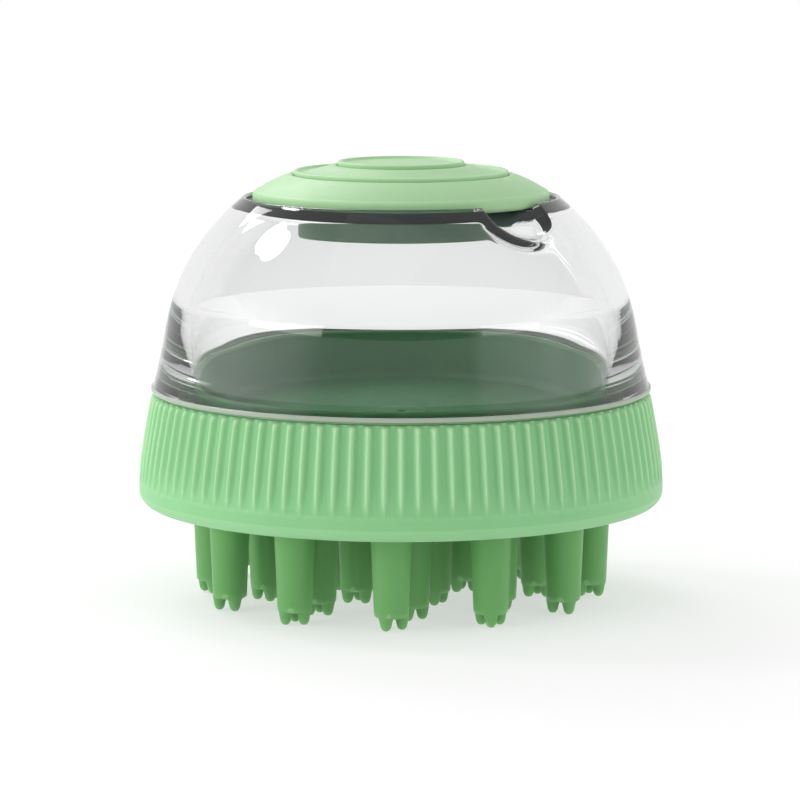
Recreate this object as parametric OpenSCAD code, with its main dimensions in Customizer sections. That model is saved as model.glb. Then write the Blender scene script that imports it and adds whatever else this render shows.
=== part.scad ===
// Scalp massager brush with a clear filling dome, a pressed silicone cap and a bristled silicone head.
// Millimetres, +Z up, -Y is the front. The origin is under the middle of the brush, at the bristle tips.

/* [Heights] */
// Height of the seam between the dome and the grip ring
seam_h = 33.8; // [33:0.1:35]
// Height of the grip ring's lower edge, where the bristles start
head_base_h = 15.5; // [15:0.1:16]
// Height of the dome's top lip above the seam
lip_rise = 31.2; // [31:0.1:31.6]
// Height of the cap's centre disc above the seam
cap_rise = 36.9; // [36.7:0.1:37.2]

/* [Dome] */
// Outer radius of the dome where it meets the grip ring
dome_foot_r = 40.4; // [40.3:0.1:40.5]
// Outer radius of the dome's straight part, just above its flared foot
dome_waist_r = 38.4; // [38.2:0.1:38.6]
// Outer radius of the dome's top lip
dome_lip_r = 25.3; // [25.2:0.1:25.5]
// Inner radius of the reservoir
reservoir_r = 34.9; // [34.8:0.1:35]
// Depth of the dome's plug-in foot below the seam
spigot_depth = 4; // [3:0.5:5]
// Outer radius of the plug-in foot
spigot_r = 38; // [37.8:0.1:38]

/* [Cap seat and finger notch] */
// Radius of the seat sunk in the dome's top
seat_r = 24.3; // [24.3:0.1:24.4]
// Depth of the seat below the dome's lip
seat_depth = 1.2; // [1.1:0.1:1.2]
// Thickness of the seat's floor
seat_floor = 2; // [1.8:0.1:2.2]
// Radius of the filler neck
neck_r = 16.6; // [16.6:0.1:16.8]
// Direction of the finger notch, turned from the front towards the right
notch_angle = 44; // [40:1:50]
// Radius of the finger notch
notch_r = 8; // [7.5:0.5:8]
// Height of the notch's centre above the seam
notch_rise = 34.2; // [34.2:0.1:34.6]

/* [Cap] */
// Radius of the cap's rim
cap_r = 23.9; // [23.7:0.1:23.9]
// Radius of the cap's middle tier
tier_r = 17.3; // [17.1:0.1:17.4]
// Radius of the cap's centre disc
button_r = 10.2; // [10:0.1:10.4]
// Outer radius of the plug under the cap
plug_r = 16.5; // [16.4:0.1:16.5]
// How far the plug reaches above the seam
plug_rise = 24.6; // [24.4:0.1:25]

/* [Grip ring] */
// Widest radius of the grip ring
grip_r = 42.45; // [42.2:0.05:42.6]
// Number of ribs around the grip ring
rib_count = 100; // [80:2:100]
// Radius of one rib
rib_r = 1; // [0.9:0.1:1]

/* [Brush head] */
// Thickness of the bristled floor
floor_t = 8.7; // [8:0.1:8.7]
// Thickness of the sealing collar
collar_t = 1; // [0.8:0.1:1.2]
// How far the collar stands above the seam
collar_rise = 0.5; // [0:0.1:1]
// Radius of the outlet valve's stem
valve_r = 3; // [2.5:0.5:3.5]
// Radius of the outlet channel
outlet_r = 0.75; // [0.5:0.05:1]

/* [Bristles] */
// Radius of a bristle at its root
bristle_root_r = 3.25; // [3:0.05:3.3]
// Radius of a bristle just above its nubs
bristle_tip_r = 2.7; // [2.7:0.05:2.8]
// Height of the nubs at a bristle's tip
nub_h = 2; // [1.8:0.1:2.2]
// Radius of one nub
nub_r = 0.95; // [0.85:0.05:0.95]
// Radius of the circle that the nubs stand on
nub_circle_r = 1.65; // [1.6:0.05:1.7]

/* [Hidden] */
BRISTLES = ["bristle_01", "bristle_02", "bristle_03", "bristle_04", "bristle_05", "bristle_06",
            "bristle_07", "bristle_08", "bristle_09", "bristle_10", "bristle_11", "bristle_12",
            "bristle_13", "bristle_14", "bristle_15", "bristle_16", "bristle_17", "bristle_18",
            "bristle_19", "bristle_20", "bristle_21", "bristle_22", "bristle_23", "bristle_24",
            "bristle_25", "bristle_26"];

$fn = 96;
overlap = 1;                 // how far a cutting tool passes the face that it cuts
green = "mediumseagreen";
pale_green = "darkseagreen";
smoke = [0.75, 0.75, 0.73, 0.4];

lip_h = seam_h + lip_rise;
seat_h = lip_h - seat_depth;
roof_h = seat_h - seat_floor;
cap_top_h = seam_h + cap_rise;
floor_top_h = head_base_h + floor_t;

// Dome
foot_flare_h = 7;            // height of the flare above the seam
shoulder_handle = 9.4;       // how long the dome's side runs on before it curves in
lip_handle = 8.8;            // how long the lip's slope runs down before it curves
lip_slope = 35.2;            // slope of the dome's side at its lip
lip_round = 0.5;             // rounding of the lip
wall_top_h = 14;             // height above the seam where the inner wall starts to curve in
wall_handle = 5.5;           // how long the inner wall runs on before it curves
roof_handle = 7.5;           // how long the roof runs flat before it curves
roof_r = 22;                 // radius of the flat roof around the neck
wall_draft = 0.7;            // how much the inner wall leans in between the seam and the curve
spigot_clear = 0.05;         // running clearance around the plug-in foot
notch_wall = 2;              // wall left around the finger notch
notch_inner_r = 21;          // where the finger notch ends under the cap
boss_inner_r = 17.6;         // where the notch's wall ends beside the neck

// Cap
tier_clear = 0.1;            // clearance between the sliding tiers
tier_rise = 35.4;            // top of the middle tier above the seam
cone_foot_rise = 31.9;       // top of the rim's edge above the seam
cone_top_rise = 35;          // top of the cap's cone above the seam
rim_under_rise = 30.3;       // lowest point of the rim's outer edge above the seam
rim_round = 0.9;             // rounding of the rim
rim_gap = 1.6;               // how far the cap's seat face stays inside the rim
web_t = 1.5;                 // thickness of the web between the plug and the rim
plug_t = 1.9;                // wall of the plug
tier_t = 1.5;                // thickness of the middle tier
tier_skirt = 2;              // height of the middle tier's skirt
disc_t = 2.2;                // thickness of the centre disc

// Grip ring
grip_top_r = 40.1;           // radius of the valleys between the ribs at the seam
valley_low_r = 42;           // radius of the valleys at the ribs' lower ends
rib_low_h = 20.5;            // height of the ribs' lower ends
band_h = 18.8;               // height where the smooth band is widest
grip_round = 2.2;            // rounding of the lower edge
rib_top_in = 0.6;            // how far a rib's axis stays inside the valleys at the top
rib_low_in = 0.75;           // the same at the rib's lower end
rib_top_gap = 0.3;           // how far the ribs stop below the seam

// Outlet valve
valve_flange_r = 4.5;
valve_flange_t = 0.8;
valve_drop = 1.5;            // how far the valve reaches below the floor

// Bristles
ring_radii = [30.7, 22.3, 10.5];      // circles that the bristles stand on
ring_counts = [12, 9, 5];
ring_turns = [-2.8, 4.4, 30];         // each circle's first bristle, turned from the front to the right
nub_count = 3;
nub_turn = 93;                        // first nub, turned from the bristle's outward direction
nub_flat_r = 0.35;                    // flat end of a nub
nub_root = 1;                         // how far a nub reaches up into the bristle
tip_round = 0.5;                      // rounding of the bristle's end between the nubs

// Points along an arc, centre [x, z], from one angle to another
function arc(x, z, r, from, to, steps = 8) =
    [for (i = [0:steps]) let (a = from + (to - from) * i / steps) [x + r * cos(a), z + r * sin(a)]];

// Points along a cubic curve through four control points
function curve(a, b, c, d, steps = 16) =
    [for (i = [0:steps]) let (t = i / steps, u = 1 - t)
        u * u * u * a + 3 * u * u * t * b + 3 * u * t * t * c + t * t * t * d];

// Outline of the dome's outside, from the seam up to the lip
function dome_outside() = concat(
    curve([dome_foot_r, seam_h], [dome_foot_r - 0.7, seam_h + 2.4],
          [dome_waist_r, seam_h + foot_flare_h - 2.4], [dome_waist_r, seam_h + foot_flare_h], 6),
    curve([dome_waist_r, seam_h + foot_flare_h + 0.5],
          [dome_waist_r, seam_h + foot_flare_h + shoulder_handle],
          [dome_lip_r + lip_handle * cos(lip_slope), lip_h - lip_handle * sin(lip_slope)],
          [dome_lip_r + lip_round, lip_h - lip_round]),
    [[dome_lip_r, lip_h]]);

// Outline of the reservoir's wall, from the flat roof down to the seam
function reservoir_wall() = concat(
    curve([roof_r, roof_h], [roof_r + roof_handle, roof_h],
          [reservoir_r - wall_draft, seam_h + wall_top_h + wall_handle],
          [reservoir_r - wall_draft, seam_h + wall_top_h]),
    [[reservoir_r, seam_h]]);

module dome_outer_solid() {
    rotate_extrude()
        polygon(concat([[0, seam_h - spigot_depth], [spigot_r, seam_h - spigot_depth], [spigot_r, seam_h]],
                       dome_outside(), [[0, lip_h]]));
}

module reservoir_space() {
    rotate_extrude()
        polygon(concat([[0, roof_h]], reservoir_wall(),
                       [[reservoir_r, seam_h - spigot_depth - overlap], [0, seam_h - spigot_depth - overlap]]));
}

// Round bar that lies outwards at the notch's place, with a ball at its inner end
module notch_bar(radius, inner_r) {
    rotate([0, 0, notch_angle - 90])
        translate([inner_r + radius, 0, seam_h + notch_rise]) {
            sphere(r = radius);
            rotate([0, 90, 0])
                cylinder(r = radius, h = dome_foot_r);
        }
}

module dome_shell() {
    color(smoke)
        difference() {
            union() {
                difference() {
                    dome_outer_solid();
                    reservoir_space();
                }
                intersection() {
                    dome_outer_solid();
                    notch_bar(notch_r + notch_wall, boss_inner_r);
                }
            }
            translate([0, 0, roof_h - overlap - notch_r])
                cylinder(r = neck_r, h = notch_r + 2 * overlap + seat_floor);
            translate([0, 0, seat_h])
                cylinder(r = seat_r, h = seat_depth + overlap);
            notch_bar(notch_r, notch_inner_r);
        }
}

module cap_rim() {
    color(pale_green)
        rotate_extrude()
            polygon(concat(
                [[plug_r - plug_t, seat_h], [cap_r - rim_gap, seat_h],
                 [cap_r - rim_round / 2, seam_h + rim_under_rise]],
                arc(cap_r - rim_round, seam_h + cone_foot_rise - rim_round, rim_round, 0, 65),
                [[tier_r + tier_clear, seam_h + cone_top_rise],
                 [tier_r + tier_clear, seat_h + web_t],
                 [plug_r - plug_t, seat_h + web_t]]));
}

module cap_plug() {
    color(pale_green)
        difference() {
            translate([0, 0, seam_h + plug_rise])
                cylinder(r = plug_r, h = seat_h - seam_h - plug_rise);
            translate([0, 0, seam_h + plug_rise - overlap])
                cylinder(r = plug_r - plug_t, h = seat_h - seam_h - plug_rise + 2 * overlap);
        }
}

module cap_middle_tier() {
    color(pale_green)
        translate([0, 0, seam_h + tier_rise - tier_skirt])
            difference() {
                cylinder(r = tier_r, h = tier_skirt);
                translate([0, 0, -tier_t])
                    cylinder(r = tier_r - tier_t, h = tier_skirt);
                translate([0, 0, -overlap])
                    cylinder(r = button_r + tier_clear, h = tier_skirt + 2 * overlap);
            }
}

module cap_centre_disc() {
    color(pale_green)
        translate([0, 0, cap_top_h - disc_t])
            cylinder(r = button_r, h = disc_t);
}

module grip_rib(turn) {
    low_r = valley_low_r - rib_low_in;
    top_r = grip_top_r - rib_top_in;
    rise = seam_h - rib_top_gap - rib_low_h;
    rotate([0, 0, turn])
        translate([low_r, 0, rib_low_h])
            rotate([0, -atan((low_r - top_r) / rise), 0])
                cylinder(r = rib_r, h = rise);
}

module grip_ring() {
    socket_r = spigot_r + spigot_clear;
    bore_r = reservoir_r - 2 * spigot_clear;
    color(green) {
        rotate_extrude()
            polygon(concat(
                [[bore_r, head_base_h]],
                arc(grip_r - grip_round, head_base_h + grip_round, grip_round, -90, 0),
                [[grip_r, band_h], [valley_low_r, rib_low_h], [grip_top_r, seam_h],
                 [socket_r, seam_h], [socket_r, seam_h - spigot_depth], [bore_r, seam_h - spigot_depth]]));
        for (i = [0:rib_count - 1])
            grip_rib(i * 360 / rib_count);
    }
}

module sealing_collar() {
    outer_r = reservoir_r - 2 * spigot_clear;
    color(green)
        translate([0, 0, floor_top_h])
            difference() {
                cylinder(r = outer_r, h = seam_h + collar_rise - floor_top_h);
                translate([0, 0, -overlap])
                    cylinder(r = outer_r - collar_t, h = seam_h + collar_rise - floor_top_h + 2 * overlap);
            }
}

module brush_floor() {
    color(green)
        difference() {
            translate([0, 0, head_base_h])
                cylinder(r = reservoir_r - 2 * spigot_clear, h = floor_t);
            translate([0, 0, head_base_h - overlap])
                cylinder(r = valve_r, h = floor_t + 2 * overlap);
        }
}

module outlet_valve() {
    color(green)
        difference() {
            union() {
                translate([0, 0, head_base_h - valve_drop])
                    cylinder(r = valve_r, h = valve_drop + floor_t);
                translate([0, 0, floor_top_h])
                    cylinder(r = valve_flange_r, h = valve_flange_t);
            }
            translate([0, 0, head_base_h - valve_drop - overlap])
                cylinder(r = outlet_r, h = valve_drop + floor_t + valve_flange_t + 2 * overlap);
        }
}

// One nub at a bristle's tip, with a rounded end and a small flat to stand on
module nub() {
    rotate_extrude()
        polygon(concat([[0, 0], [nub_flat_r, 0]],
                       curve([nub_flat_r, 0], [nub_flat_r + 0.35, 0], [nub_r, 0.35], [nub_r, 0.95], 5),
                       [[nub_r, nub_h + nub_root], [0, nub_h + nub_root]]));
}

// One bristle at its place, turned so that its nubs keep the same side outwards
module bristle(radius, turn) {
    color(green)
        rotate([0, 0, turn - 90])
            translate([radius, 0, 0]) {
                rotate_extrude()
                    polygon([[0, nub_h], [bristle_tip_r - tip_round, nub_h], [bristle_tip_r, nub_h + tip_round],
                             [bristle_root_r, head_base_h], [0, head_base_h]]);
                for (i = [0:nub_count - 1])
                    rotate([0, 0, nub_turn + i * 360 / nub_count])
                        translate([nub_circle_r, 0, 0])
                            nub();
            }
}

// Bristle of a given number, counted around the outer circle first and the inner one last
module numbered_bristle(index) {
    ring = index < ring_counts[0] ? 0 : index < ring_counts[0] + ring_counts[1] ? 1 : 2;
    first = ring == 0 ? 0 : ring == 1 ? ring_counts[0] : ring_counts[0] + ring_counts[1];
    bristle(ring_radii[ring], ring_turns[ring] + (index - first) * 360 / ring_counts[ring]);
}

dome_shell();
cap_rim();
cap_middle_tier();
cap_centre_disc();
cap_plug();
grip_ring();
sealing_collar();
brush_floor();
outlet_valve();
for (i = [0:len(BRISTLES) - 1]) numbered_bristle(i);
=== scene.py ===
import math

import bmesh
import bpy
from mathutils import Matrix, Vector


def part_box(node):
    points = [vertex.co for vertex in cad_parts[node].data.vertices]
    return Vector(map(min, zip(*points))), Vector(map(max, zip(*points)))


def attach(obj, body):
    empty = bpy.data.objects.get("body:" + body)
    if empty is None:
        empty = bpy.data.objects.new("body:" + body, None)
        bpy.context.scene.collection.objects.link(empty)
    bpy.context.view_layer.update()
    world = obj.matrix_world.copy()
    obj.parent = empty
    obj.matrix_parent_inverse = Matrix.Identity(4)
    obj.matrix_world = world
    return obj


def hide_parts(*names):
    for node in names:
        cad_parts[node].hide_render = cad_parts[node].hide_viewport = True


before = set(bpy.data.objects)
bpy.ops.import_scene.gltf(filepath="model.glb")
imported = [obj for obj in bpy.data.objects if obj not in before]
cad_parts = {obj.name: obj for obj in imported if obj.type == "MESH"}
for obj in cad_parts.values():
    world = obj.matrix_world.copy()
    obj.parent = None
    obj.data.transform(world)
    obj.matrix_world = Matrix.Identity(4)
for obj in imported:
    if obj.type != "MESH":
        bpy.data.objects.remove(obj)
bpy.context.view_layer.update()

MM = 0.001
TURN = 2 * math.pi

# ---------------------------------------------------------------- measures from the frame, in millimetres


def top_of(node):
    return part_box(node)[1].z / MM


def foot_of(node):
    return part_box(node)[0].z / MM


def radius_of(node):
    low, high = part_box(node)
    return (high.x - low.x) / 2 / MM


SEAM = top_of("grip_ring")
BASE = foot_of("grip_ring")
LIP = top_of("dome_shell")
FOOT = foot_of("dome_shell")
FOOT_R = radius_of("dome_shell")
GRIP_R = radius_of("grip_ring")
RIM_R = radius_of("cap_rim")
TIER_R = radius_of("cap_middle_tier")
DISC_R = radius_of("cap_centre_disc")
PLUG_R = radius_of("cap_plug")
TIER_TOP = top_of("cap_middle_tier")
DISC_TOP = top_of("cap_centre_disc")
PLUG_LOW = foot_of("cap_plug")
FLOOR_TOP = top_of("brush_floor")
VALVE_LOW = foot_of("outlet_valve")

NECK_R = 16.6             # filler neck
SOCKET_R = 38.05          # socket in the grip ring that the dome's foot plugs into

# ---------------------------------------------------------------- camera and studio

CAMERA_DISTANCE = 650     # from the seam's centre
CAMERA_RISE = 0.1343      # angle of the camera above the seam's centre, in radians
CAMERA_PITCH = 0.1373     # how far the camera looks down, in radians

camera = bpy.data.cameras.new("camera")
camera.sensor_width = 36
camera.lens = 180.5
camera.shift_x = -0.00125
camera_object = bpy.data.objects.new("camera", camera)
bpy.context.scene.collection.objects.link(camera_object)
camera_object.location = (
    0,
    -CAMERA_DISTANCE * math.cos(CAMERA_RISE) * MM,
    (SEAM + CAMERA_DISTANCE * math.sin(CAMERA_RISE)) * MM,
)
camera_object.rotation_euler = (math.pi / 2 - CAMERA_PITCH, 0, 0)
bpy.context.scene.camera = camera_object

scene = bpy.context.scene
scene.view_settings.view_transform = "Standard"
scene.cycles.use_denoising = True
scene.cycles.max_bounces = 16
scene.cycles.transmission_bounces = 16
scene.cycles.transparent_max_bounces = 16
scene.cycles.glossy_bounces = 8
scene.cycles.diffuse_bounces = 4


def softbox(name, azimuth, elevation, distance, width, height, power):
    """Area light that faces the brush. Azimuth is turned from the front towards the right, in degrees."""
    lamp = bpy.data.lights.new(name, "AREA")
    lamp.shape = "RECTANGLE" if name != "key_light" else "ELLIPSE"
    lamp.size = width
    lamp.size_y = height
    lamp.energy = power
    lamp_object = bpy.data.objects.new(name, lamp)
    scene.collection.objects.link(lamp_object)
    turn = math.radians(azimuth)
    rise = math.radians(elevation)
    direction = Vector((math.sin(turn) * math.cos(rise), -math.cos(turn) * math.cos(rise), math.sin(rise)))
    centre = Vector((0, 0, SEAM * MM))
    lamp_object.location = centre + direction * distance
    lamp_object.rotation_euler = direction.to_track_quat("Z", "Y").to_euler()
    lamp_object.visible_camera = False
    return lamp_object


key_light = softbox("key_light", -114, 45, 1.0, 0.25, 0.20, 1.6)
key_light.rotation_euler.rotate_axis("Z", math.radians(-20))
softbox("rear_light", -155, 40, 1.0, 0.45, 0.40, 2.6)
softbox("top_light", -25, 70, 1.0, 0.7, 0.7, 0.3)
softbox("left_fill", -62, 8, 1.0, 0.8, 0.5, 4.2).visible_glossy = False
softbox("right_fill", 58, 8, 1.0, 0.6, 0.5, 1.6).visible_glossy = False

world = bpy.data.worlds.new("studio")
scene.world = world
world.use_nodes = True
world_tree = world.node_tree
link_world = world_tree.links.new
background = world_tree.nodes["Background"]
coordinates = world_tree.nodes.new("ShaderNodeTexCoord")
axes = world_tree.nodes.new("ShaderNodeSeparateXYZ")
link_world(coordinates.outputs["Generated"], axes.inputs[0])


def math_node(operation, first, second):
    """Math node of the world's shader. Each input is a number or another node's output."""
    made = world_tree.nodes.new("ShaderNodeMath")
    made.operation = operation
    for place, value in enumerate((first, second)):
        if isinstance(value, (int, float)):
            made.inputs[place].default_value = value
        else:
            link_world(value, made.inputs[place])
    return made.outputs[0]


def ramp(value, start, end, low, high):
    """Smooth change from low to high as value goes from start to end."""
    made = world_tree.nodes.new("ShaderNodeMapRange")
    made.interpolation_type = "SMOOTHSTEP"
    link_world(value, made.inputs["Value"])
    made.inputs["From Min"].default_value = start
    made.inputs["From Max"].default_value = end
    made.inputs["To Min"].default_value = low
    made.inputs["To Max"].default_value = high
    return made.outputs["Result"]


azimuth = math_node("ARCTAN2", axes.outputs["X"], math_node("MULTIPLY", axes.outputs["Y"], -1.0))


def soft_panel(edges, low, high, strength):
    """Bright panel of the studio with soft edges: four azimuths in degrees, and the heights it spans."""
    a, b, c, d = [math.radians(value) for value in edges]
    across = math_node("MULTIPLY", ramp(azimuth, a, b, 0.0, 1.0), ramp(azimuth, c, d, 1.0, 0.0))
    height = axes.outputs["Z"]
    upright = math_node("MULTIPLY", ramp(height, low - PANEL_EDGE, low + PANEL_EDGE, 0.0, 1.0),
                        ramp(height, high - PANEL_EDGE, high + PANEL_EDGE, 1.0, 0.0))
    return math_node("MULTIPLY", math_node("MULTIPLY", across, upright), strength)


# Each panel's azimuths: where its light starts, where it is full, where it starts to fall, where it ends.
LEFT_PANEL = (-108, -84, -56, -34)
RIGHT_PANEL = (33, 42, 76, 96)
PANEL_LOW = -0.3          # height of the panels' lower edge, on a sphere of radius 1
PANEL_EDGE = 0.1          # half the width of their soft upper and lower edges
PANEL_STRENGTH = 0.60

# The room is darker low down on the camera's side, which is what the front of the dome mirrors.
dark_side = math_node("MULTIPLY", ramp(axes.outputs["Y"], -0.85, -0.1, 0.75, 0.0),
                      ramp(axes.outputs["Z"], 0.35, 0.7, 1.0, 0.0))
room = math_node("MULTIPLY", ramp(axes.outputs["Z"], 0.1, 0.95, 0.95, 0.7),
                 math_node("SUBTRACT", 1.0, dark_side))
panels = math_node("ADD", soft_panel(LEFT_PANEL, PANEL_LOW, 0.42, PANEL_STRENGTH),
                   soft_panel(RIGHT_PANEL, PANEL_LOW, 0.36, PANEL_STRENGTH))
light = math_node("ADD", room, panels)
# The camera itself sees a white backdrop.
ray = world_tree.nodes.new("ShaderNodeLightPath")
link_world(math_node("MAXIMUM", light, ray.outputs["Is Camera Ray"]), background.inputs["Strength"])
background.inputs["Color"].default_value = (1, 1, 1, 1)

# ---------------------------------------------------------------- materials


def nodes_of(material):
    material.use_nodes = True
    tree = material.node_tree
    return tree, tree.nodes["Principled BSDF"]


def node(tree, kind, **inputs):
    made = tree.nodes.new(kind)
    for key, value in inputs.items():
        made.inputs[key.replace("_", " ")].default_value = value
    return made


def silicone(name, tone, shade, edge, rough=0.46, bump=0.10, edge_highlight_strength=0.6):
    """Moulded matt silicone: cloudy tone, a painted highlight on edges and rib crests, uneven gloss and a
    fine blasted grain.
    """
    material = bpy.data.materials.new(name)
    tree, shader = nodes_of(material)
    link = tree.links.new
    place = tree.nodes.new("ShaderNodeTexCoord")

    cloud = node(tree, "ShaderNodeTexNoise", Scale=95.0, Detail=3.0, Roughness=0.55)
    link(place.outputs["Object"], cloud.inputs["Vector"])
    cloud_ramp = tree.nodes.new("ShaderNodeValToRGB")
    cloud_ramp.color_ramp.elements[0].position = 0.3
    cloud_ramp.color_ramp.elements[0].color = (*shade, 1)
    cloud_ramp.color_ramp.elements[1].position = 0.72
    cloud_ramp.color_ramp.elements[1].color = (*tone, 1)
    link(cloud.outputs["Fac"], cloud_ramp.inputs["Fac"])

    # Pointiness lightens edges and rib crests towards the edge colour: a painted highlight.
    geometry = tree.nodes.new("ShaderNodeNewGeometry")
    edge_highlight_mask = tree.nodes.new("ShaderNodeMapRange")
    edge_highlight_mask.inputs["From Min"].default_value = 0.505
    edge_highlight_mask.inputs["From Max"].default_value = 0.60
    edge_highlight_mask.inputs["To Min"].default_value = 0.0
    edge_highlight_mask.inputs["To Max"].default_value = edge_highlight_strength
    link(geometry.outputs["Pointiness"], edge_highlight_mask.inputs["Value"])
    mixed = tree.nodes.new("ShaderNodeMix")
    mixed.data_type = "RGBA"
    link(edge_highlight_mask.outputs["Result"], mixed.inputs[0])
    link(cloud_ramp.outputs["Color"], mixed.inputs[6])
    mixed.inputs[7].default_value = (*edge, 1)
    link(mixed.outputs[2], shader.inputs["Base Color"])

    smudge = node(tree, "ShaderNodeTexNoise", Scale=420.0, Detail=5.0, Roughness=0.6)
    link(place.outputs["Object"], smudge.inputs["Vector"])
    gloss = tree.nodes.new("ShaderNodeMapRange")
    gloss.inputs["From Min"].default_value = 0.3
    gloss.inputs["From Max"].default_value = 0.7
    gloss.inputs["To Min"].default_value = rough - 0.05
    gloss.inputs["To Max"].default_value = rough + 0.06
    link(smudge.outputs["Fac"], gloss.inputs["Value"])
    link(gloss.outputs["Result"], shader.inputs["Roughness"])

    grain = node(tree, "ShaderNodeTexNoise", Scale=5200.0, Detail=2.0, Roughness=0.5)
    link(place.outputs["Object"], grain.inputs["Vector"])
    relief = node(tree, "ShaderNodeBump", Strength=bump, Distance=0.00004)
    link(grain.outputs["Fac"], relief.inputs["Height"])
    link(relief.outputs["Normal"], shader.inputs["Normal"])

    shader.inputs["IOR"].default_value = 1.42
    shader.inputs["Subsurface Weight"].default_value = 0.22
    shader.inputs["Subsurface Radius"].default_value = (0.5, 1.0, 0.45)
    shader.inputs["Subsurface Scale"].default_value = 0.0016
    return material


def clear_plastic(name):
    """Faintly smoky clear plastic with hairline wear and a slight moulding wave."""
    material = bpy.data.materials.new(name)
    tree, shader = nodes_of(material)
    link = tree.links.new
    place = tree.nodes.new("ShaderNodeTexCoord")
    haze = node(tree, "ShaderNodeTexNoise", Scale=260.0, Detail=6.0, Roughness=0.65)
    link(place.outputs["Object"], haze.inputs["Vector"])
    gloss = tree.nodes.new("ShaderNodeMapRange")
    gloss.inputs["From Min"].default_value = 0.35
    gloss.inputs["From Max"].default_value = 0.8
    gloss.inputs["To Min"].default_value = 0.0
    gloss.inputs["To Max"].default_value = 0.03
    link(haze.outputs["Fac"], gloss.inputs["Value"])
    link(gloss.outputs["Result"], shader.inputs["Roughness"])
    wave = node(tree, "ShaderNodeTexNoise", Scale=35.0, Detail=1.0)
    link(place.outputs["Object"], wave.inputs["Vector"])
    relief = node(tree, "ShaderNodeBump", Strength=0.05, Distance=0.0004)
    link(wave.outputs["Fac"], relief.inputs["Height"])
    link(relief.outputs["Normal"], shader.inputs["Normal"])
    shader.inputs["Base Color"].default_value = (1, 1, 1, 1)
    shader.inputs["Transmission Weight"].default_value = 1.0
    shader.inputs["IOR"].default_value = 1.57
    smoke = tree.nodes.new("ShaderNodeVolumeAbsorption")
    smoke.inputs["Color"].default_value = (0.64, 0.66, 0.66, 1)
    smoke.inputs["Density"].default_value = 36.0
    link(smoke.outputs[0], tree.nodes["Material Output"].inputs["Volume"])
    return material


def painted_shade_or_frosted_plastic(name, dark, light, rough):
    """Opaque finish of the clear plastic: painted shade on the neck and seat under the cap, or the frosted
    band at the foot.
    """
    material = bpy.data.materials.new(name)
    tree, shader = nodes_of(material)
    link = tree.links.new
    place = tree.nodes.new("ShaderNodeTexCoord")
    haze = node(tree, "ShaderNodeTexNoise", Scale=300.0, Detail=4.0, Roughness=0.6)
    link(place.outputs["Object"], haze.inputs["Vector"])
    tone = tree.nodes.new("ShaderNodeValToRGB")
    tone.color_ramp.elements[0].color = (*dark, 1)
    tone.color_ramp.elements[1].color = (*light, 1)
    link(haze.outputs["Fac"], tone.inputs["Fac"])
    link(tone.outputs["Color"], shader.inputs["Base Color"])
    grain = node(tree, "ShaderNodeTexNoise", Scale=4200.0, Detail=2.0)
    link(place.outputs["Object"], grain.inputs["Vector"])
    relief = node(tree, "ShaderNodeBump", Strength=0.1, Distance=0.00004)
    link(grain.outputs["Fac"], relief.inputs["Height"])
    link(relief.outputs["Normal"], shader.inputs["Normal"])
    shader.inputs["Roughness"].default_value = rough
    return material


def floor_paint(name):
    """Pale studio paper with a faint fibre."""
    material = bpy.data.materials.new(name)
    tree, shader = nodes_of(material)
    link = tree.links.new
    place = tree.nodes.new("ShaderNodeTexCoord")
    fibre = node(tree, "ShaderNodeTexNoise", Scale=900.0, Detail=4.0)
    link(place.outputs["Object"], fibre.inputs["Vector"])
    relief = node(tree, "ShaderNodeBump", Strength=0.05, Distance=0.0001)
    link(fibre.outputs["Fac"], relief.inputs["Height"])
    link(relief.outputs["Normal"], shader.inputs["Normal"])
    shader.inputs["Base Color"].default_value = (0.42, 0.42, 0.42, 1)
    shader.inputs["Roughness"].default_value = 0.9
    shader.inputs["Specular IOR Level"].default_value = 0.1
    shader.inputs["Emission Color"].default_value = (1, 1, 1, 1)
    shader.inputs["Emission Strength"].default_value = 0.56
    return material


# Each silicone has its tone, a slightly deeper one for the cloudy patches, and a lighter one painted on its
# edges and rib crests as a highlight.
CAP_SILICONE = silicone(
    "cap_silicone_paint", (0.37, 0.60, 0.33), (0.35, 0.58, 0.31), (0.50, 0.72, 0.45), 0.46)
RING_SILICONE = silicone(
    "ring_silicone_paint", (0.25, 0.56, 0.255), (0.235, 0.54, 0.24), (0.58, 0.80, 0.52), 0.42,
    edge_highlight_strength=0.9)
# Painted shade: the bowl and the valve use a darker copy of the brush head's silicone, standing in for the
# shade inside the dome.
BOWL_PAINTED_SHADE_SILICONE = silicone(
    "bowl_painted_shade_silicone_paint", (0.065, 0.29, 0.105), (0.058, 0.275, 0.095), (0.18, 0.45, 0.16), 0.50)
# Painted shade: the bristles use a darker copy of the ring's silicone, standing in for the shade under the
# ring.
BRISTLE_PAINTED_SHADE_SILICONE = silicone(
    "bristle_painted_shade_silicone_paint", (0.145, 0.38, 0.12), (0.135, 0.36, 0.11), (0.30, 0.56, 0.26), 0.40)
# Painted shade: the plug uses a darker copy of the cap's silicone, standing in for the shade inside the
# dome.
PLUG_PAINTED_SHADE_SILICONE = silicone(
    "plug_painted_shade_silicone_paint", (0.03, 0.19, 0.055), (0.025, 0.175, 0.048), (0.09, 0.26, 0.10), 0.46)
CLEAR = clear_plastic("clear_plastic_paint")
# Painted shade: a dark sheet on the clear neck and seat under the cap, standing in for the shade there.
PAINTED_SHADE_PLASTIC = painted_shade_or_frosted_plastic("painted_shade_plastic_paint", (0.022, 0.036, 0.034), (0.034, 0.054, 0.052), 0.45)
FROSTED = painted_shade_or_frosted_plastic("frosted_plastic_paint", (0.30, 0.36, 0.28), (0.40, 0.46, 0.38), 0.35)

# ---------------------------------------------------------------- mesh helpers


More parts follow.
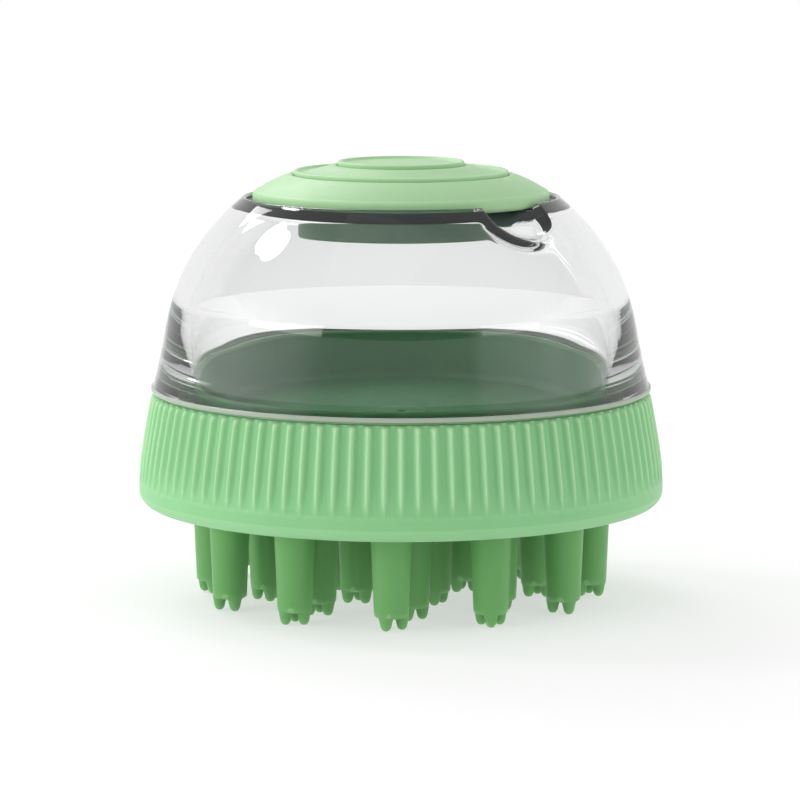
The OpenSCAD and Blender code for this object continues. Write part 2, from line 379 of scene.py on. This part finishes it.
def arc(cr, cz, radius, start, end, steps=8):
    """Points (r, z) along an arc around (cr, cz), angles in degrees."""
    points = []
    for i in range(steps + 1):
        angle = math.radians(start + (end - start) * i / steps)
        points.append((cr + radius * math.cos(angle), cz + radius * math.sin(angle)))
    return points


def straight(a, b, steps):
    """Points along a straight line, both ends included."""
    return [(a[0] + (b[0] - a[0]) * i / steps, a[1] + (b[1] - a[1]) * i / steps) for i in range(steps + 1)]


def tidy_line(points, gap=1e-4):
    """Leaves out points that lie on the one before."""
    line = [points[0]]
    for p in points[1:]:
        if math.hypot(p[0] - line[-1][0], p[1] - line[-1][1]) > gap:
            line.append(p)
    return line


def finish_mesh(name, vertices, faces, material, body, sharp=40):
    """Closed mesh in millimetres, made into a piece that rides on a body."""
    mesh = bpy.data.meshes.new(name)
    mesh.from_pydata([Vector(v) * MM for v in vertices], [], faces)
    work = bmesh.new()
    work.from_mesh(mesh)
    bmesh.ops.remove_doubles(work, verts=work.verts, dist=1e-7)
    bmesh.ops.dissolve_degenerate(work, edges=work.edges, dist=1e-8)
    bmesh.ops.recalc_face_normals(work, faces=work.faces)
    work.to_mesh(mesh)
    work.free()
    mesh.shade_smooth()
    mesh.set_sharp_from_angle(angle=math.radians(sharp))
    piece = bpy.data.objects.new(name, mesh)
    scene.collection.objects.link(piece)
    mesh.materials.append(material)
    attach(piece, body)
    return piece


def revolve(name, outline, angles, material, body, shape=None, closed=True, sharp=40):
    """Turns an outline of (r, z) points about the upright axis.

    shape(r, z, angle, row) may return a moved (r, z) for a point of the outline.
    """
    outline = tidy_line(outline)
    vertices = []
    for angle in angles:
        for k, (r, z) in enumerate(outline):
            if shape:
                r, z = shape(r, z, angle, k)
            vertices.append((r * math.sin(angle), -r * math.cos(angle), z))
    rows = len(outline)
    faces = []
    for i in range(len(angles)):
        j = (i + 1) % len(angles)
        for k in range(rows if closed else rows - 1):
            m = (k + 1) % rows
            faces.append([i * rows + k, j * rows + k, j * rows + m, i * rows + m])
    return finish_mesh(name, vertices, faces, material, body, sharp)


def even_angles(count):
    return [TURN * i / count for i in range(count)]


def smooth_min(a, b, blend):
    """Smaller of two numbers, rounded where they meet."""
    h = max(blend - abs(a - b), 0) / blend
    return min(a, b) - h * h * h * blend / 6


# ---------------------------------------------------------------- dome

NOTCH_DEGREES = 44        # direction of the finger notch, from the front towards the right
NOTCH_TURN = math.radians(NOTCH_DEGREES)
NOTCH_SPAN = 48           # width of the finely divided part of the dome around the notch, in degrees
NOTCH_R = 8.0
NOTCH_Z = SEAM + 34.2
NOTCH_END = 29.0          # distance from the axis where the scoop's round end is centred
NOTCH_WALL = 2.2
NOTCH_SHOULDER = 1.0      # how softly the scoop's edge blends into the dome, outside and inside
NOTCH_INNER_BLEND = 2.0


def scoop_floor(r, angle, grow):
    """Height of the finger scoop's surface, grown outwards by grow, at a point of the dome."""
    x = r * math.sin(angle - NOTCH_TURN)
    along = r * math.cos(angle - NOTCH_TURN)
    short = max(NOTCH_END - along, 0)
    reach = (NOTCH_R + grow) ** 2 - x * x - short * short
    if along < 0 or reach <= 0:
        return None
    return NOTCH_Z - math.sqrt(reach)


def bezier(a, b, c, d, steps):
    """Points along a cubic curve through four control points."""
    line = []
    for i in range(steps + 1):
        t = i / steps
        u = 1 - t
        weights = (u * u * u, 3 * u * u * t, 3 * u * t * t, t * t * t)
        line.append(tuple(
            weights[0] * a[k] + weights[1] * b[k] + weights[2] * c[k] + weights[3] * d[k] for k in range(2)
        ))
    return line


LIP_ROUND = 0.45
SHADE_R = 23.7            # the seat's painted shade ends here, under the cap's rim
SLAB = 2.05               # thickness of the flat top around the neck
SLAB_TOP = LIP - 1.15
SLAB_LOW = SLAB_TOP - SLAB
KINK = SEAM + 14          # height where the inner wall turns from nearly upright to curving in
KINK_R = 34.1
INNER_FOOT_R = 34.85      # inner wall at the foot
WALL_LOW_R = 38.15        # outer wall where its lower curve meets its upper one
WALL_LOW_H = 9.6          # height of that place above the seam
WALL_TOP = 3.05           # wall thickness at the lip
WALL_KINK = 3.0           # wall thickness at the kink

outside = (
    [(FOOT_R - 0.1, SEAM + 0.03), (FOOT_R, SEAM + 0.13), (FOOT_R, SEAM + 0.60), (FOOT_R - 0.12, SEAM + 0.72)]
    + bezier((FOOT_R - 0.30, SEAM + 0.76), (FOOT_R - 0.95, SEAM + 3.0),
             (38.75, SEAM + 6.4), (WALL_LOW_R, SEAM + WALL_LOW_H), 14)
    + bezier((WALL_LOW_R, SEAM + WALL_LOW_H), (36.95, SEAM + 16.3),
             (34.55, SEAM + 23.6), (25.75, LIP - 0.3), 44)
)
lip = arc(25.35, LIP - LIP_ROUND, LIP_ROUND, 52, 165, 5)


def wall_line():
    """Inner wall above the kink: it follows the outside at the wall's thickness."""
    line = []
    for (r0, z0), (r1, z1) in zip(outside, outside[1:]):
        length = math.hypot(r1 - r0, z1 - z0)
        if length < 1e-6:
            continue
        rise = (z1 - KINK) / (LIP - KINK)
        thick = WALL_KINK + (WALL_TOP - WALL_KINK) * min(max(rise, 0), 1)
        r = r1 - (z1 - z0) / length * thick
        z = z1 + (r1 - r0) / length * thick
        if KINK + 0.1 < z < SLAB_LOW - 0.15:
            line.append((r, z))
    return line[::-1]


upper_wall = wall_line()
corner_r = upper_wall[0][0] - 0.15
inside = (
    straight((NECK_R + 1, SLAB_LOW), (corner_r - 0.4, SLAB_LOW), 6) + [(corner_r, SLAB_LOW - 0.05)]
    + upper_wall
    + bezier((KINK_R, KINK), (KINK_R + 0.55, KINK - 2.8),
             (INNER_FOOT_R - 0.1, SEAM + 6.5), (INNER_FOOT_R, SEAM - 1), 14)
)
seat = (
    [(24.9, LIP - 0.9), (24.5, SLAB_TOP + 0.05), (24.3, SLAB_TOP)]
    + straight((24.0, SLAB_TOP), (NECK_R + 0.2, SLAB_TOP), 8)
    + straight((NECK_R, SLAB_TOP - 0.2), (NECK_R, SLAB_LOW + 0.2), 3)
    + [(NECK_R + 0.2, SLAB_LOW)]
)
foot = (
    straight((INNER_FOOT_R, SEAM - 1.2), (INNER_FOOT_R, FOOT + 0.3), 2) + [(36.4, FOOT), (37.7, FOOT)]
    + straight((37.95, FOOT + 0.3), (37.95, SEAM - 0.05), 3)
)
dome_outline = tidy_line(outside + lip + seat + inside + foot)
outer_rows = len(tidy_line(outside + lip + seat[:-4]))      # outline points on the dome's outer side


def dome_shape(r, z, angle, row):
    """Presses the finger scoop into the dome, with a wall of even thickness below it."""
    outer = row < outer_rows
    grow = 0 if outer else NOTCH_WALL
    low = scoop_floor(r, angle, grow)
    if low is None or z < SEAM + 15:
        return r, z
    return r, smooth_min(z, low, NOTCH_SHOULDER if outer else NOTCH_INNER_BLEND)


dome_angles = []
degrees = 0.0
while degrees < 360:
    dome_angles.append(math.radians(degrees + NOTCH_DEGREES - NOTCH_SPAN / 2))
    degrees += 0.5 if degrees < NOTCH_SPAN else 1.5
dome = revolve("dome", dome_outline, dome_angles, CLEAR, "dome", dome_shape, sharp=32)
dome.data.materials.append(PAINTED_SHADE_PLASTIC)
dome.data.materials.append(FROSTED)
PAINTED_SHADE_SLOT = 1
FROSTED_SLOT = 2
# Faces of the neck and of the seat under the cap take the painted shade; the band at the foot takes the
# frosted finish.
for face in dome.data.polygons:
    middle = face.center / MM
    away = math.hypot(middle.x, middle.y)
    if abs(away - NECK_R) < 0.15 or (away < SHADE_R and middle.z > LIP - 7 and face.normal.z > 0.3):
        face.material_index = PAINTED_SHADE_SLOT
    if away > FOOT_R - 0.5 and SEAM - 0.05 < middle.z < SEAM + 0.75:
        face.material_index = FROSTED_SLOT
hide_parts("dome_shell")

# ---------------------------------------------------------------- cap

CLEARANCE = 0.1
UNDER = SLAB_TOP + 0.06   # underside of the cap's rim, just above the dome's flat top
PLUG_INNER_R = PLUG_R - 1.9

cap_rim_outline = (
    [(PLUG_INNER_R, PLUG_LOW + 0.3)] + arc(PLUG_R - 0.4, PLUG_LOW + 0.4, 0.4, -90, 0, 4)
    + straight((PLUG_R, PLUG_LOW + 0.8), (PLUG_R, UNDER - 0.2), 4)
    + [(PLUG_R + 0.2, UNDER), (RIM_R - 1.2, UNDER)]
    + arc(RIM_R - 0.8, UNDER + 0.75, 0.8, -65, 0, 6) + arc(RIM_R - 0.8, LIP + 0.30, 0.8, 10, 58, 5)
    + bezier((RIM_R - 0.5, LIP + 1.0), (22.3, LIP + 1.75), (20.0, LIP + 3.0), (TIER_R + 1.1, LIP + 3.45), 10)
    + bezier((TIER_R + 1.0, LIP + 3.5), (TIER_R + 0.7, LIP + 3.62),
             (TIER_R + 0.4, LIP + 3.62), (TIER_R + 0.15, LIP + 3.5), 4)
    + straight((TIER_R + CLEARANCE, LIP + 3.3), (TIER_R + CLEARANCE, UNDER + 1.5), 3)
    + [(TIER_R - 0.4, UNDER + 1.4), (PLUG_R - 1.5, UNDER + 1.4)]
    + straight((PLUG_INNER_R, UNDER + 0.9), (PLUG_INNER_R, PLUG_LOW + 1), 4)
)
cap_rim = revolve("cap_rim_skin", cap_rim_outline, even_angles(192), CAP_SILICONE, "cap")
cap_rim.data.materials.append(PLUG_PAINTED_SHADE_SILICONE)
PLUG_SHADE_SLOT = 1
# The plug's faces, below the rim's underside, take the painted shade.
for face in cap_rim.data.polygons:
    if face.center.z / MM < UNDER - 0.05:
        face.material_index = PLUG_SHADE_SLOT
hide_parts("cap_rim", "cap_plug")


def bead(edge_r, top, high, width):
    """Thin rounded bead around a tier's edge, from the outside in."""
    return (
        arc(edge_r - 0.25, top - 0.25, 0.25, 0, 90, 4)
        + arc(edge_r - width + 0.25, top - 0.3, 0.3, 90, 140, 3)
        + [(edge_r - width - 0.25, top - high * 0.85), (edge_r - width - 0.7, top - high)]
    )


tier_inner = DISC_R + CLEARANCE
tier_outline = (
    [(TIER_R - 1.5, TIER_TOP - 2.0), (TIER_R - 0.2, TIER_TOP - 2.0)]
    + straight((TIER_R, TIER_TOP - 1.8), (TIER_R, TIER_TOP - 0.35), 3)
    + bead(TIER_R, TIER_TOP, 0.34, 0.75)
    + bezier((15.3, TIER_TOP - 0.28), (13.6, TIER_TOP + 0.05),
             (12.4, TIER_TOP + 0.55), (11.2, TIER_TOP + 0.80), 8)
    + bezier((10.9, TIER_TOP + 0.84), (10.7, TIER_TOP + 0.86),
             (10.5, TIER_TOP + 0.86), (tier_inner + 0.1, TIER_TOP + 0.8), 3)
    + [(tier_inner, TIER_TOP + 0.6), (tier_inner, TIER_TOP - 1.2),
       (tier_inner + 0.2, TIER_TOP - 1.4), (TIER_R - 1.9, TIER_TOP - 1.4), (TIER_R - 1.5, TIER_TOP - 1.8)]
)
middle_tier = revolve("cap_middle_tier_skin", tier_outline, even_angles(160), CAP_SILICONE,
                      "middle_tier")
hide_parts("cap_middle_tier")

disc_outline = (
    [(0.0, DISC_TOP - 2.2), (DISC_R - 0.4, DISC_TOP - 2.2), (DISC_R, DISC_TOP - 1.8)]
    + straight((DISC_R, DISC_TOP - 1.6), (DISC_R, DISC_TOP - 0.35), 3)
    + bead(DISC_R, DISC_TOP, 0.38, 0.8)
    + bezier((8.5, DISC_TOP - 0.40), (6.0, DISC_TOP - 0.42),
             (3.0, DISC_TOP - 0.36), (0.0, DISC_TOP - 0.34), 8)
)
centre_disc = revolve("cap_centre_skin", disc_outline, even_angles(128), CAP_SILICONE,
                      "centre_disc", closed=False)
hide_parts("cap_centre_disc")

# ---------------------------------------------------------------- grip ring

RIBS = 100
RIB_SAMPLES = 7           # points across one rib and its valley
RIB_TOP = SEAM - 0.5
RIB_LOW = SEAM - 14.3
RIB_DEPTH = 0.72
RIB_FADE = 5.5            # length over which a rib's lower end runs out
RING_ROUND = 2.2          # rounding of the ring's lower edge
SIDE_TOP = 0.48           # the ring's side, from and to these depths below the seam
SIDE_LOW = 16.2
SIDE_STEPS = 34


def lerp_table(table, value):
    """Straight-line reading of a short table of (depth below the seam, radius)."""
    for (a, ra), (b, rb) in zip(table, table[1:]):
        if value <= b:
            t = (value - a) / (b - a)
            return ra + (rb - ra) * t
    return table[-1][1]


# The ribs' crests: depth below the seam, and radius.
CREST = [(0.0, 40.25), (1.2, 40.5), (3.8, 41.0), (7.1, 41.6), (11.0, 42.2), (14.9, GRIP_R),
         (SIDE_LOW, 42.42)]


def ring_shape(r, z, angle, row):
    """Cuts the ribs' broad valleys into the ring's outer side. They run out into the smooth band."""
    if r < 39.9 or z < RIB_LOW - 2:
        return r, z
    phase = (angle / TURN * RIBS + 0.5) % 1.0 * 2 - 1
    low = min(max((z - RIB_LOW) / RIB_FADE, 0), 1)
    top = min(max((RIB_TOP - z) / 0.9, 0), 1)
    depth = RIB_DEPTH * (low * (2 - low)) ** 0.8
    across = min(abs(phase) / (0.46 + 0.16 * low), 1)
    rib = 0.5 + 0.5 * math.cos(math.pi * across ** 1.25)
    rib *= math.sqrt(max(1 - (1 - top) ** 2, 0))
    return r - depth * (1 - rib), z


ring_side = []
for i in range(SIDE_STEPS + 1):
    below = SIDE_TOP + (SIDE_LOW - SIDE_TOP) * i / SIDE_STEPS
    ring_side.append((lerp_table(CREST, below), SEAM - below))
ring_outline = (
    [(SOCKET_R, SEAM - 0.2), (SOCKET_R + 0.2, SEAM), (38.9, SEAM)]
    + [(39.3, SEAM - 0.05), (39.6, SEAM - 0.30), (39.95, SEAM - 0.40)]
    + ring_side
    + arc(GRIP_R - RING_ROUND, BASE + RING_ROUND, RING_ROUND, -6, -90, 8)
    + [(38.5, BASE), (36.5, BASE), (35.2, BASE), (35.2, BASE + 2), (35.2, SEAM - 4.1), (35.4, SEAM - 4.1)]
    + [(SOCKET_R, SEAM - 4.1), (SOCKET_R, SEAM - 2)]
)
ring = revolve("grip_ring_skin", ring_outline, even_angles(RIBS * RIB_SAMPLES), RING_SILICONE,
               "brush_head", ring_shape, sharp=50)
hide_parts("grip_ring")

# ---------------------------------------------------------------- bowl: sealing collar and bristled floor

BOWL_R = 34.6
RIM_TOP = SEAM + 0.5
bowl_outline = (
    [(0.0, BASE), (12.0, BASE), (24.0, BASE), (35.1, BASE), (35.1, SEAM - 5.0), (34.9, SEAM - 4.4)]
    + [(34.7, SEAM - 4.0), (BOWL_R - 0.1, SEAM - 3.4), (BOWL_R - 0.1, SEAM - 0.6)]
    + arc(BOWL_R - 0.55, RIM_TOP - 0.45, 0.45, 0, 180, 6)
    + straight((BOWL_R - 0.95, RIM_TOP - 0.6), (33.2, FLOOR_TOP + 2.2), 6)
    + arc(31.6, FLOOR_TOP + 1.6, 1.6, 0, -90, 8)
    + [(24.0, FLOOR_TOP), (12.0, FLOOR_TOP), (0.0, FLOOR_TOP)]
)
bowl = revolve("bowl", bowl_outline, even_angles(192), BOWL_PAINTED_SHADE_SILICONE,
               "brush_head", closed=False)
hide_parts("sealing_collar", "brush_floor")

OUTLET_R = 0.75
VALVE_R = 3.0
valve_outline = (
    [(OUTLET_R, VALVE_LOW + 0.2), (0.95, VALVE_LOW)] + arc(2.5, VALVE_LOW + 0.5, 0.5, -90, 0, 4)
    + [(VALVE_R, BASE + 0.3), (VALVE_R, FLOOR_TOP - 0.1), (4.4, FLOOR_TOP + 0.02)]
    + arc(4.1, FLOOR_TOP + 0.4, 0.4, 0, 90, 4)
    + [(1.2, FLOOR_TOP + 0.8), (OUTLET_R, FLOOR_TOP + 0.6)]
)
valve = revolve("outlet_valve_skin", valve_outline, even_angles(64), BOWL_PAINTED_SHADE_SILICONE,
                "brush_head")
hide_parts("outlet_valve")

# ---------------------------------------------------------------- bristles

RING_RADII = (30.7, 22.3, 10.5)      # circles that the bristles stand on
RING_COUNTS = (12, 9, 5)
RING_TURNS = (-2.8, 4.4, 30.0)       # each circle's first bristle, in degrees from the front
TIP_R = 2.7
ROOT_R = 3.25
NUB_H = 2.0
NUB_R = 0.98
NUB_CIRCLE = 1.66
NUB_TURN = 93
NUB_FOOT = 0.32           # width of the fillet around a nub, as a share of its radius
NUB_POWER = 2.6           # bluntness of a nub
ROOT_FILLET = 0.9
BRISTLE_SEGMENTS = 72
END_RADII = (2.7, 2.695, 2.66, 2.6, 2.5, 2.38, 2.24, 2.08, 1.9, 1.7, 1.5, 1.3, 1.1, 0.9, 0.7, 0.5, 0.25)


def nub_drop(x, y):
    """How far the bristle's end reaches down at a point: a rounded nub, or the fillet around it."""
    drop = 0.0
    for k in range(3):
        a = math.radians(NUB_TURN + 120 * k)
        away = math.hypot(x - NUB_CIRCLE * math.cos(a), y - NUB_CIRCLE * math.sin(a)) / NUB_R
        if away < 1:
            drop = max(drop, NUB_H * (1 - away ** NUB_POWER) ** (1 / NUB_POWER))
        if away < 1 + NUB_FOOT:
            t = (1 + NUB_FOOT - away) / NUB_FOOT
            drop = max(drop, 0.5 * min(t, 1) ** 2)
    return drop


def bristle(number, ring_radius, turn):
    """One bristle in its place, on the underside of the floor."""
    outward = Vector((math.sin(turn), -math.cos(turn), 0))
    side = Vector((math.cos(turn), math.sin(turn), 0))
    origin = outward * ring_radius
    rows = []
    heights = [BASE + 0.05, BASE - 0.15, BASE - 0.45, BASE - 0.9, BASE - 1.6]
    heights += [10.5, 8.0, 6.0, 4.5, 3.6, 3.1, 2.8]
    for z in heights:
        t = (BASE - z) / (BASE - NUB_H)
        r = ROOT_R + (TIP_R - ROOT_R) * min(max(t, 0), 1)
        near = max(ROOT_FILLET - (BASE - z), 0) / ROOT_FILLET
        rows.append([(r + 0.55 * near ** 2, z)] * BRISTLE_SEGMENTS)
    vertices = []
    for row in rows:
        for i, (r, z) in enumerate(row):
            a = TURN * i / BRISTLE_SEGMENTS
            vertices.append((r * math.cos(a), r * math.sin(a), z))
    for r in END_RADII:
        for i in range(BRISTLE_SEGMENTS):
            a = TURN * i / BRISTLE_SEGMENTS
            x = r * math.cos(a)
            y = r * math.sin(a)
            shoulder = 0.30 * (max(r - 2.2, 0) / 0.5) ** 2
            z = NUB_H + shoulder - nub_drop(x, y)
            vertices.append((x, y, max(z, 0.0)))
    vertices.append((0, 0, NUB_H))
    vertices.append((0, 0, BASE + 0.05))
    total = len(rows) + len(END_RADII)
    faces = []
    for k in range(total - 1):
        here = k * BRISTLE_SEGMENTS
        below = here + BRISTLE_SEGMENTS
        for i in range(BRISTLE_SEGMENTS):
            j = (i + 1) % BRISTLE_SEGMENTS
            faces.append([here + i, here + j, below + j, below + i])
    last = (total - 1) * BRISTLE_SEGMENTS
    for i in range(BRISTLE_SEGMENTS):
        j = (i + 1) % BRISTLE_SEGMENTS
        faces.append([last + i, last + j, total * BRISTLE_SEGMENTS])
        faces.append([j, i, total * BRISTLE_SEGMENTS + 1])
    placed = [origin + outward * v[0] + side * v[1] + Vector((0, 0, v[2])) for v in vertices]
    piece = finish_mesh(f"bristle_skin_{number:02d}", placed, faces, BRISTLE_PAINTED_SHADE_SILICONE,
                        "brush_head", 60)
    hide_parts(f"bristle_{number:02d}")


number = 1
for ring_radius, count, first in zip(RING_RADII, RING_COUNTS, RING_TURNS):
    for i in range(count):
        bristle(number, ring_radius, math.radians(first + 360 * i / count))
        number += 1

# ---------------------------------------------------------------- floor

floor_mesh = bpy.data.meshes.new("studio_floor")
floor_vertices = []
floor_faces = []
FLOOR_SEGMENTS = 96
FLOOR_RADII = (0.1, 0.35, 0.7)       # in metres
FLOOR_Z = -0.0001                    # just below the bristle tips
for r in FLOOR_RADII:
    for i in range(FLOOR_SEGMENTS):
        a = TURN * i / FLOOR_SEGMENTS
        floor_vertices.append((r * math.cos(a), r * math.sin(a), FLOOR_Z))
for k in range(len(FLOOR_RADII) - 1):
    near = k * FLOOR_SEGMENTS
    far = near + FLOOR_SEGMENTS
    for i in range(FLOOR_SEGMENTS):
        j = (i + 1) % FLOOR_SEGMENTS
        floor_faces.append((near + i, near + j, far + j, far + i))
floor_faces.append(tuple(range(FLOOR_SEGMENTS)))
floor_mesh.from_pydata(floor_vertices, [], floor_faces)
floor_mesh.materials.append(floor_paint("studio_paper"))
floor = bpy.data.objects.new("studio_floor", floor_mesh)
scene.collection.objects.link(floor)
